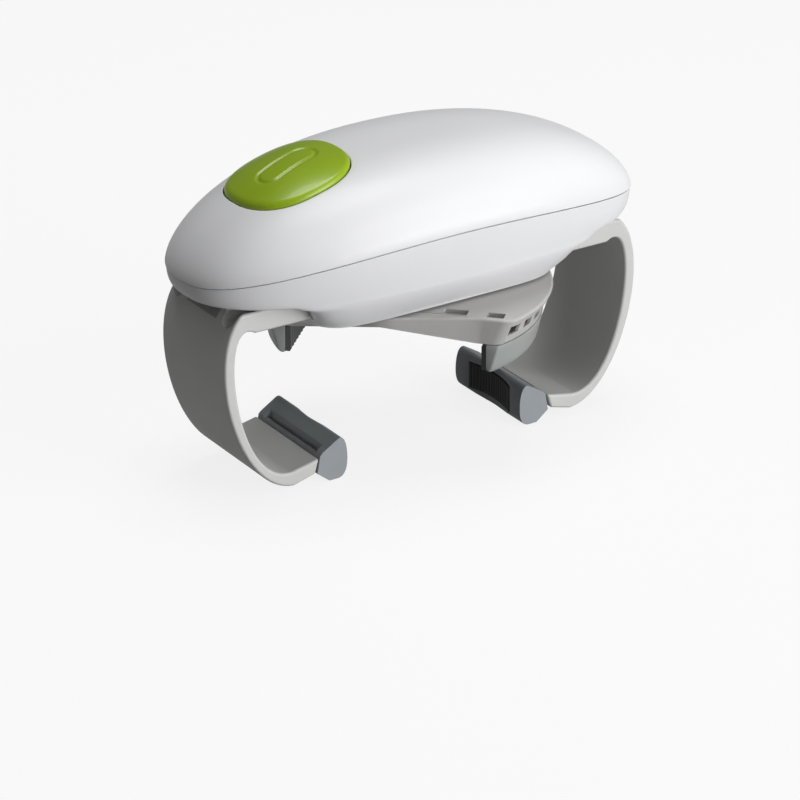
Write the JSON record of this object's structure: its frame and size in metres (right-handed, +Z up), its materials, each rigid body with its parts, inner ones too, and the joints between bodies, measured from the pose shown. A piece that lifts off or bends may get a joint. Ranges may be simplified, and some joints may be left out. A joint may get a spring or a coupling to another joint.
{
  "type": "electric jar opener",
  "caption": "Battery-powered jar opener with an oval housing, push button, two sliding curved arms with jar grips and a turning turret with two lid jaws.",
  "frame": {"origin": "on the table that the two arms stand on, under the middle of the object", "axes": "+Z up along the axis that the turret turns on, +X lengthwise from the button's end to the plain end, +Y across to the battery side"},
  "size_m": [0.1842, 0.105, 0.1154],
  "materials": {
    "white_plastic": "smooth glossy white",
    "grey_plastic": "satin light grey",
    "jaw_plastic": "satin mid grey",
    "green_plastic": "smooth glossy green",
    "grip_rubber": "soft bluish grey rubber",
    "pad_rubber": "ribbed dark rubber",
    "gear_plastic": "natural ivory plastic",
    "frame_plastic": "plain grey plastic",
    "steel": "plain steel",
    "brass": "plain brass",
    "cell_jacket": "plain dark jacket",
    "board": "green lacquered board",
    "black_plastic": "black plastic"
  },
  "bodies": {
    "housing": {"upper_housing": "white_plastic", "lower_housing": "white_plastic", "battery_tray": "frame_plastic", "outer_cell": "cell_jacket", "inner_cell": "cell_jacket", "left_contacts": "brass", "right_contacts": "brass", "start_switch": "black_plastic", "circuit_board": "board", "housing_screws": "steel", "gear_frame": "frame_plastic", "gear_bridge": "frame_plastic", "bridge_screws": "steel", "motor": "steel", "spindle_bushing": "brass"},
    "battery_cover": {"battery_cover": "white_plastic"},
    "button": {"start_button": "green_plastic", "switch_plunger": "black_plastic"},
    "left_arm": {"left_arm": "grey_plastic", "left_jar_grip": "grip_rubber"},
    "right_arm": {"right_arm": "grey_plastic", "right_jar_grip": "grip_rubber"},
    "arm_drive": {"arm_pinion": "gear_plastic", "gear_drum": "gear_plastic"},
    "turret": {"turret_cover": "grey_plastic", "turret_base": "grey_plastic", "turret_screws": "steel", "spindle": "steel", "thrust_washer": "gear_plastic"},
    "near_jaw": {"near_lid_jaw": "jaw_plastic", "near_lid_pad": "pad_rubber"},
    "far_jaw": {"far_lid_jaw": "jaw_plastic", "far_lid_pad": "pad_rubber"},
    "lid_drive": {"lid_pinion": "gear_plastic"},
    "sun_gear": {"sun_gear": "gear_plastic"},
    "compound_gear": {"compound_gear": "gear_plastic"},
    "motor_rotor": {"motor_pinion": "brass"}
  },
  "joints": [
    {"name": "left_arm_slide", "type": "slide", "parent": "housing", "child": "left_arm", "axis": [1, 0, 0], "range_m": [-0.012, 0.02]},
    {"name": "right_arm_slide", "type": "slide", "parent": "housing", "child": "right_arm", "axis": [-1, 0, 0], "range_m": [-0.012, 0.02]},
    {"name": "arm_drive_spin", "type": "hinge", "parent": "housing", "child": "arm_drive", "pos_m": [0, 0, 0.08], "axis": [0, 0, 1], "range_deg": [-120, 75]},
    {"name": "turret_spin", "type": "hinge", "parent": "housing", "child": "turret", "pos_m": [0, 0, 0.06], "axis": [0, 0, 1], "continuous": true},
    {"name": "near_jaw_slide", "type": "slide", "parent": "turret", "child": "near_jaw", "axis": [-0.6947, 0.7193, 0], "range_m": [-0.005, 0.012]},
    {"name": "far_jaw_slide", "type": "slide", "parent": "turret", "child": "far_jaw", "axis": [0.6947, -0.7193, 0], "range_m": [-0.005, 0.012]},
    {"name": "lid_drive_spin", "type": "hinge", "parent": "turret", "child": "lid_drive", "pos_m": [0, 0, 0.055], "axis": [0, 0, 1], "range_deg": [-60, 100]},
    {"name": "sun_spin", "type": "hinge", "parent": "housing", "child": "sun_gear", "pos_m": [0, 0, 0.088], "axis": [0, 0, 1], "continuous": true},
    {"name": "compound_spin", "type": "hinge", "parent": "housing", "child": "compound_gear", "pos_m": [-0.01804, -0.00657, 0.095], "axis": [0, 0, 1], "continuous": true},
    {"name": "rotor_spin", "type": "hinge", "parent": "housing", "child": "motor_rotor", "pos_m": [-0.03637, -0.00496, 0.1], "axis": [0, 0, 1], "continuous": true},
    {"name": "button_press", "type": "slide", "parent": "housing", "child": "button", "axis": [0, 0, -1], "range_m": [0, 0.0012], "stiffness_N_per_m": 400, "springref_m": -0.002},
    {"name": "cover_pull", "type": "slide", "parent": "housing", "child": "battery_cover", "axis": [0, 0.766, 0.6428], "range_m": [0, 0.03]}
  ],
  "couplings": [
    {"joint": "right_arm_slide", "follows": "left_arm_slide", "ratio": 1},
    {"joint": "arm_drive_spin", "follows": "left_arm_slide", "rad_per_m": -100},
    {"joint": "far_jaw_slide", "follows": "near_jaw_slide", "ratio": 1},
    {"joint": "lid_drive_spin", "follows": "near_jaw_slide", "rad_per_m": 142.86},
    {"joint": "sun_spin", "follows": "turret_spin", "ratio": 5},
    {"joint": "compound_spin", "follows": "turret_spin", "ratio": -15},
    {"joint": "rotor_spin", "follows": "turret_spin", "ratio": 54}
  ]
}
